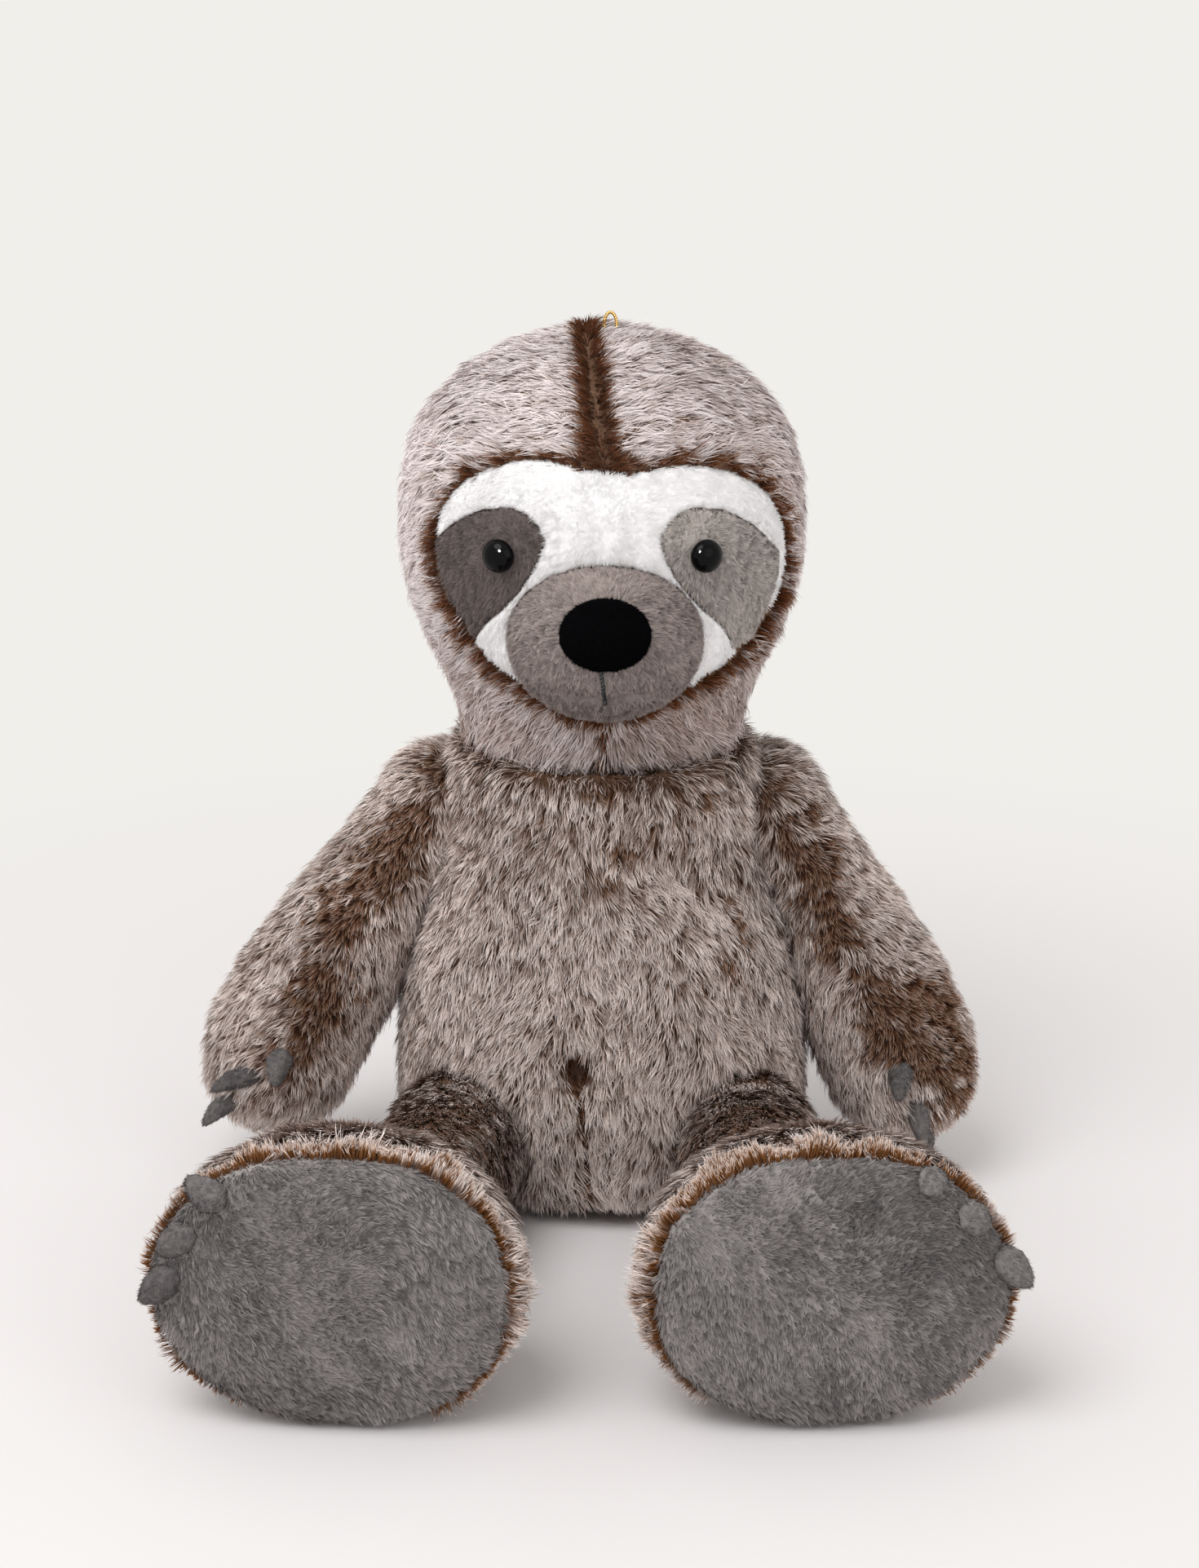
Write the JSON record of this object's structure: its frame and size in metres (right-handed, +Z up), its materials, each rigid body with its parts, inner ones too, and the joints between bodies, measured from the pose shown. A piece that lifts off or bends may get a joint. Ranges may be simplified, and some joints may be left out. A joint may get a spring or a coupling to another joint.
{
  "type": "plush sloth",
  "caption": "Seated plush sloth with long tipped fur, white face, grey eye patches, padded muzzle, velvet nose, plastic eyes and soft claws on hands and feet.",
  "frame": {"origin": "centre of the seat on the surface that the toy sits on", "axes": "+Z up, the toy faces -Y, its left hand is at +X"},
  "size_m": [0.2983, 0.2884, 0.336],
  "materials": {
    "fur": "long tipped pile",
    "filling": "loose fibre",
    "face_pile": "short pile",
    "patch_pile_dark": "short pile",
    "patch_pile": "short pile",
    "muzzle_pile": "short pile",
    "nose_velvet": "velvet",
    "mouth_thread": "matte thread",
    "eye_plastic": "gloss",
    "washer_plastic": "matte",
    "loop_cord": "metallic thread",
    "sole_pile": "short pile",
    "claw_pile": "short pile"
  },
  "bodies": {
    "torso": {"torso_skin": "fur", "torso_filling": "filling"},
    "neck": {"neck_band": "fur"},
    "head": {"head_hood": "fur", "head_filling": "filling", "face_panel": "face_pile", "eye_patch_right": "patch_pile_dark", "eye_patch_left": "patch_pile", "eye_right": "eye_plastic", "eye_washer_right": "washer_plastic", "eye_left": "eye_plastic", "eye_washer_left": "washer_plastic", "muzzle": "muzzle_pile", "nose": "nose_velvet", "mouth_stitch": "mouth_thread", "hang_loop": "loop_cord"},
    "arm_right": {"arm_right_skin": "fur", "arm_right_filling": "filling", "hand_claw_right_1": "claw_pile", "hand_claw_right_2": "claw_pile", "hand_claw_right_3": "claw_pile"},
    "leg_right": {"leg_right_skin": "fur", "leg_right_filling": "filling"},
    "foot_right": {"foot_right_upper": "fur", "foot_right_sole": "sole_pile", "foot_right_filling": "filling", "toe_claw_right_1": "claw_pile", "toe_claw_right_2": "claw_pile", "toe_claw_right_3": "claw_pile"},
    "arm_left": {"arm_left_skin": "fur", "arm_left_filling": "filling", "hand_claw_left_1": "claw_pile", "hand_claw_left_2": "claw_pile", "hand_claw_left_3": "claw_pile"},
    "leg_left": {"leg_left_skin": "fur", "leg_left_filling": "filling"},
    "foot_left": {"foot_left_upper": "fur", "foot_left_sole": "sole_pile", "foot_left_filling": "filling", "toe_claw_left_1": "claw_pile", "toe_claw_left_2": "claw_pile", "toe_claw_left_3": "claw_pile"}
  },
  "joints": [
    {"name": "neck_turn", "type": "hinge", "parent": "torso", "child": "neck", "pos_m": [0, -0.012, 0.215], "axis": [0, 0, 1], "range_deg": [-35, 35]},
    {"name": "head_nod", "type": "hinge", "parent": "neck", "child": "head", "pos_m": [0, -0.012, 0.215], "axis": [1, 0, 0], "range_deg": [-12, 12]},
    {"name": "arm_left_lift", "type": "hinge", "parent": "torso", "child": "arm_left", "pos_m": [0.06, -0.001, 0.146], "axis": [0, -1, 0], "range_deg": [0, 60]},
    {"name": "arm_right_lift", "type": "hinge", "parent": "torso", "child": "arm_right", "pos_m": [-0.06, -0.001, 0.146], "axis": [0, 1, 0], "range_deg": [0, 60]},
    {"name": "leg_left_lift", "type": "hinge", "parent": "torso", "child": "leg_left", "pos_m": [0.054, -0.054, 0.03], "axis": [-1, 0, 0], "range_deg": [-30, 12]},
    {"name": "leg_right_lift", "type": "hinge", "parent": "torso", "child": "leg_right", "pos_m": [-0.054, -0.054, 0.03], "axis": [-1, 0, 0], "range_deg": [-30, 12]},
    {"name": "foot_left_tilt", "type": "hinge", "parent": "leg_left", "child": "foot_left", "pos_m": [0.06, -0.171, 0.04], "axis": [-1, 0, 0], "range_deg": [-12, 12]},
    {"name": "foot_right_tilt", "type": "hinge", "parent": "leg_right", "child": "foot_right", "pos_m": [-0.074, -0.171, 0.04], "axis": [-1, 0, 0], "range_deg": [-12, 12]}
  ]
}
